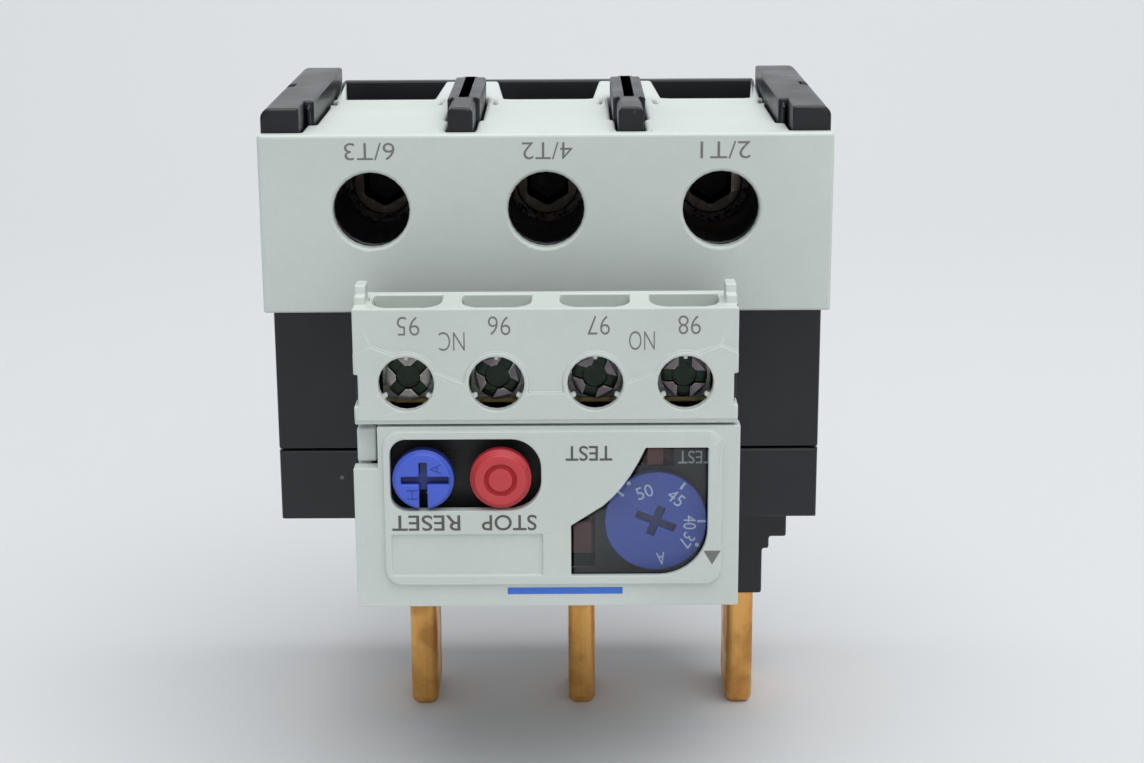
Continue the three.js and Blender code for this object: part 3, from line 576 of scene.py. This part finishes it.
def printed(name, words, centre, size, node, face, material, spin=180, stroke=0.0):
    """Words on a face of a node that looks towards -Y. size is their width and height."""
    mesh = text_mesh(name, words, stroke)
    across = [v.co.x for v in mesh.vertices]
    up = [v.co.y for v in mesh.vertices]
    x_mid, y_mid = (min(across) + max(across)) / 2, (min(up) + max(up)) / 2
    x_scale, y_scale = size[0] / (max(across) - min(across)), size[1] / (max(up) - min(up))
    c, s = math.cos(math.radians(spin)), math.sin(math.radians(spin))
    for vertex in mesh.vertices:
        a = (vertex.co.x - x_mid) * x_scale
        b = (vertex.co.y - y_mid) * y_scale
        out = vertex.co.z * 2 * PRINT_DEPTH
        vertex.co = (centre[0] + a * c - b * s, face - out, centre[1] + a * s + b * c)
    weld(mesh)
    return add_piece(object_of(name, mesh), node, material)


def print_span(face):
    """The span along Y of a printed mark on a face."""
    return (face - PRINT_DEPTH, face + PRINT_DEPTH)


def polar(centre, radius, degrees):
    """A point on the front face at a distance and an angle from centre."""
    angle = math.radians(degrees)
    return (centre.x + radius * math.cos(angle), centre.z + radius * math.sin(angle))


# ---------------------------------------------------------------- terminal shroud and case


def make_shroud():
    shroud = copy_of("terminal_shroud")
    for pole in POLES:
        for side in (-1, 1):
            carve(shroud, relief_slit(pole, side))
    for window in snap_windows():
        carve(shroud, slab(*window))
    adopt(soften(shroud, mm(0.4), 3), "terminal_shroud")
    size = (mm(6.1), mm(2.1))
    for index, (words, shift) in enumerate((("6/T3", 0), ("4/T2", 0.2), ("2/T1", 0.45))):
        place = (POLES[index].x + mm(shift), POLES[index].z + mm(7.3))
        name = f"label_T{3 - index}"
        printed(name, words, place, size, "terminal_shroud", FACE, GREY_INK, stroke=-0.006)


def relief_slit(pole, side):
    """A narrow slit through the shroud's top beside a cable entry."""
    floor = high("terminal_shroud").z - mm(3.4)
    start = (pole.x + side * mm(6.85), FACE + mm(26.5))
    end = (pole.x + side * mm(7.35), FACE + mm(31.5))
    half = mm(0.17)
    corners = [
        (start[0] - half, start[1], floor),
        (start[0] + half, start[1], floor),
        (end[0] + half, end[1], floor),
        (end[0] - half, end[1], floor),
    ]
    return extruded(corners, (0, 0, mm(5)), "slit")


def snap_windows():
    """Spans of the windows in the shroud's sides that the case's latches snap into."""
    foot = low("terminal_shroud").z
    edges = (low("terminal_shroud").x, high("terminal_shroud").x)
    reach = mm(2.2)
    width = mm(5)
    level = (foot + mm(4), foot + mm(8))
    return [
        ((edge - reach, edge + reach), (FACE + start, FACE + start + width), level)
        for edge in edges
        for start in (mm(9), mm(29))
    ]


def make_latches():
    """The latches of the black case, one in each window of the shroud."""
    gap = mm(0.35)
    thick = mm(1.5)
    for index, (x, y, z) in enumerate(snap_windows()):
        edge = (x[0] + x[1]) / 2
        inward = -math.copysign(1, edge)
        ends = sorted((edge + inward * gap, edge + inward * (gap + thick)))
        latch = slab(ends, (y[0] + gap, y[1] - gap), (z[0] + gap, z[1] - gap), f"latch_{index + 1}")
        add_piece(soften(latch, mm(0.2)), "main_case", BLACK)


def side_recesses(made, y, z):
    """Shallow rectangles sunk into both sides of the black case."""
    depth = mm(0.45)
    for edge in (low("lower_case").x, high("lower_case").x):
        carve(made, slab((edge - depth, edge + depth), y, z))


def make_main_case():
    case = copy_of("main_case")
    side_recesses(case, (FACE + mm(12), FACE + mm(36)), (mm(45.5), mm(58)))
    adopt(soften(case, mm(0.3)), "main_case")
    make_latches()


def make_lower_case():
    """The lower half, with a row of upright grooves on each side."""
    case = copy_of("lower_case")
    groove_pitch = mm(4.4)
    groove_width = mm(2)
    for index in range(6):
        start = FACE + mm(12) + index * groove_pitch
        side_recesses(case, (start, start + groove_width), (mm(35), mm(40)))
    adopt(soften(case, mm(0.3)), "lower_case")


def make_rear_cover():
    """The rear cover: three sunk fields with ribs between them, and the mould's round pin marks."""
    cover = copy_of("rear_cover")
    back = high("rear_cover").y
    floor, top = mm(38), mm(76)
    half = mm(24.5)
    rib = mm(0.7)
    field = (back - mm(0.5), back + OVERRUN)
    ribs = (-half, -half / 4, half / 4, half)
    for left, right in zip(ribs, ribs[1:]):
        carve(cover, slab((left + rib, right - rib), field, (floor, top)))
    pin = (back - mm(0.65), back + OVERRUN)
    for x in (-half / 1.4, half / 1.4):
        for z in (floor + mm(5), top - mm(5)):
            carve(cover, disc((x, z), mm(2.2), pin, 32))
    adopt(soften(cover, mm(0.25)), "rear_cover")
    for i in range(1, 5):
        adopt(soften(copy_of(f"rear_cover_screw_{i}"), mm(0.12)), f"rear_cover_screw_{i}")


# ---------------------------------------------------------------- power path


def make_blade(index):
    """A plug-in blade whose long edges are drawn round over the length that stands free."""
    node = f"blade_bar_{index}"
    centre, foot = BLADE_X[index - 1], low(node).z
    shoulder = low("lower_case").z - mm(0.1)
    overlap = mm(2)
    x_span = (centre - BLADE_WIDE / 2, centre + BLADE_WIDE / 2)
    y_span = (low(node).y, high(node).y)
    tool_x, tool_y = ((span[0] - OVERRUN, span[1] + OVERRUN) for span in (x_span, y_span))
    neck = carve(copy_of(node), slab(tool_x, tool_y, (foot - OVERRUN, shoulder)))
    free = slab(x_span, y_span, (foot, shoulder + overlap))
    soften(free, mm(1.2), 5)
    adopt(carve(neck, free, operation="UNION"), node)


def make_power_path():
    for i in (1, 2, 3):
        make_blade(i)
        adopt(soften(copy_of(f"load_bar_{i}"), mm(0.2)), f"load_bar_{i}")
        adopt(soften(copy_of(f"lug_cage_{i}"), mm(0.3)), f"lug_cage_{i}")
        adopt(soften(copy_of(f"lug_screw_{i}"), mm(0.25), 3), f"lug_screw_{i}", LUG_SCREW)


# ---------------------------------------------------------------- control terminals


def make_aux_cover():
    adopt(soften(copy_of("aux_cover"), mm(0.16)), "aux_cover")
    for name, screw in AUX.items():
        place = (screw.x + mm(0.4), screw.z + mm(6.95))
        cover_label(name, place, mm(2.6))
    for words, first, second in (("NC", "95", "96"), ("NO", "97", "98")):
        x = (AUX[first].x + AUX[second].x) / 2
        place = (x + mm(0.15), AUX[first].z + mm(5.1))
        cover_label(words, place, mm(3.0))


def cover_label(words, place, width):
    size = (width, mm(2.25))
    name = f"label_{words}"
    printed(name, words, place, size, "aux_cover", COVER_FACE, GREY_INK, stroke=-0.012)


def make_aux_screw(name, turn):
    """A combination-drive screw: four flat lobes round a wide cross that runs out at the rim."""
    node = f"aux_screw_{name}"
    front = low(node).y
    centre = (AUX[name].x, AUX[name].z)
    head_radius, head_thick = mm(2.75), mm(2.1)
    cross_width, cross_depth = mm(1.5), mm(0.8)
    hub_radius, hub_depth = mm(1.45), mm(1.15)
    shank_radius = mm(1.7)
    head = disc(centre, head_radius, (front, front + head_thick), 72, f"{node}_detail")
    cross_span = (front - OVERRUN, front + cross_depth)
    for quarter in (0, 90):
        carve(head, bar(centre, mm(6), cross_width, turn + quarter, cross_span))
    carve(head, disc(centre, hub_radius, (front - OVERRUN, front + hub_depth), 40))
    shank_span = (front + head_thick - mm(0.1), high(node).y)
    carve(head, disc(centre, shank_radius, shank_span, 32), operation="UNION")
    adopt(soften(head, mm(0.12)), node, TERMINAL_SCREW)


def make_aux_terminals():
    for index, name in enumerate(AUX):
        make_aux_screw(name, 45 + 14 * index)
        for kind in ("aux_terminal", "aux_clamp"):
            adopt(soften(copy_of(f"{kind}_{name}"), mm(0.12)), f"{kind}_{name}")


# ---------------------------------------------------------------- module


def make_module():
    rounding = {
        "module_base": mm(0.15),
        "module_housing": mm(0.22),
        "test_slider": mm(0.12),
        "trip_indicator": mm(0.12),
    }
    for node, width in rounding.items():
        adopt(soften(copy_of(node), width), node)
    place = (high("window").x - mm(1.0), high("window").z - mm(2.05))
    size = (mm(4.2), mm(1.6))
    printed("label_test_inner", "TEST", place, size, "module_base", BASE_FACE, FADED_INK)


def make_panel():
    adopt(soften(copy_of("front_panel"), mm(0.13)), "front_panel")
    adopt(soften(copy_of("window"), mm(0.1)), "window")
    make_panel_words()
    make_pointer()
    make_stripe()


def make_panel_words():
    """The names of the controls on the panel's raised field."""
    below_buttons = PANEL_FLOOR + mm(10.75)
    beside_window = high("window").z - mm(0.3)
    for words, x, level, width, height in (
        ("RESET", RESET.x + mm(0.25), below_buttons, 8.1, 1.95),
        ("STOP", STOP.x + mm(0.95), below_buttons, 6.5, 1.95),
        ("TEST", DIAL.x - mm(8.0), beside_window, 5.5, 1.85),
    ):
        name = f"label_{words.lower()}"
        size = (mm(width), mm(height))
        printed(name, words, (x, level), size, "front_panel", FIELD_FACE, DARK_INK, stroke=0.008)


def make_pointer():
    """The printed triangle at the window's corner that the setting is read against."""
    tip = (DIAL.x + mm(6.65), PANEL_FLOOR + mm(5.35))
    half = mm(1.02)
    rise = mm(1.75)
    outline = [tip, (tip[0] + half, tip[1] + rise), (tip[0] - half, tip[1] + rise)]
    add_piece(prism(outline, print_span(FIELD_FACE), "pointer"), "front_panel", GREY_INK)


def make_stripe():
    """The printed blue stripe along the panel's lower edge."""
    x_span = (PANEL_LEFT + mm(18.05), PANEL_LEFT + mm(31.85))
    level = PANEL_FLOOR + mm(1.95)
    half = mm(0.42)
    stripe = slab(x_span, print_span(PANEL_FACE), (level - half, level + half), "blue_stripe")
    add_piece(stripe, "front_panel", BLUE_INK)


# ---------------------------------------------------------------- buttons and dial


def make_reset_knob():
    adopt(soften(copy_of("reset_knob"), mm(0.14)), "reset_knob", KNOB_BLUE)
    face = low("reset_knob").y
    size = (mm(1.2), mm(1.3))
    for words, across, up, spin in (("A", 1.5, 1.4, 90), ("H", -1.3, -1.75, -90)):
        spot = (RESET.x + mm(across), RESET.z + mm(up))
        name = f"knob_{words}"
        printed(name, words, spot, size, "reset_knob", face, ENGRAVED_BLUE, spin, stroke=-0.01)


def make_stop_button():
    adopt(soften(copy_of("stop_button"), mm(0.3), 3), "stop_button")


def make_springs():
    """The two button springs, shaded smooth, each on a mesh of its own."""
    for name in ("reset", "stop"):
        node = f"{name}_spring"
        spring = adopt(copy_of(node), node)
        spring.data.shade_smooth()
        seat = middle(node)
        seat.y = high(node).y
        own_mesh(spring)


def make_dial():
    adopt(soften(copy_of("dial"), mm(0.12)), "dial", DIAL_BLUE_SHADED)
    face = low("dial").y
    for words, degrees, radius, width in (
        ("50", 110, 3.95, 2.0),
        ("45", 51, 3.8, 2.0),
        ("40", -2, 4.1, 1.75),
        ("37", -33, 4.45, 1.75),
        ("A", -82, 4.75, 1.0),
    ):
        place = polar(DIAL, mm(radius), degrees)
        size = (mm(width), mm(1.55))
        printed(f"dial_{words}", words, place, size, "dial", face, PALE_INK, degrees - 90)
    make_dial_marks(print_span(face))


def make_dial_marks(span):
    """The ticks and dots along the dial's rim."""
    for index, degrees in enumerate((0, 54, 140)):
        place = polar(DIAL, mm(5.5), degrees)
        tick = bar(place, mm(1.0), mm(0.3), degrees, span, f"dial_tick_{index + 1}")
        add_piece(tick, "dial", PALE_INK)
    for index, degrees in enumerate((-31, 124)):
        place = polar(DIAL, mm(5.8), degrees)
        dot = disc(place, mm(0.25), span, 20, f"dial_dot_{index + 1}")
        add_piece(dot, "dial", PALE_INK)


# ---------------------------------------------------------------- everything else


def paint_inner_nodes():
    """The CAD nodes that keep their own shape get their procedural material."""
    for node, made in frame["nodes"].items():
        if made.hide_render:
            continue
        made.data.materials.clear()
        made.data.materials.append(SLOT_MATERIALS[SLOT_OF[node]])


make_camera()
make_stage()
make_lights()
make_shroud()
make_main_case()
make_lower_case()
make_rear_cover()
make_power_path()
make_aux_cover()
make_aux_terminals()
make_module()
make_panel()
make_reset_knob()
make_stop_button()
make_dial()
make_springs()
paint_inner_nodes()
bpy.context.scene.view_settings.view_transform = "Standard"
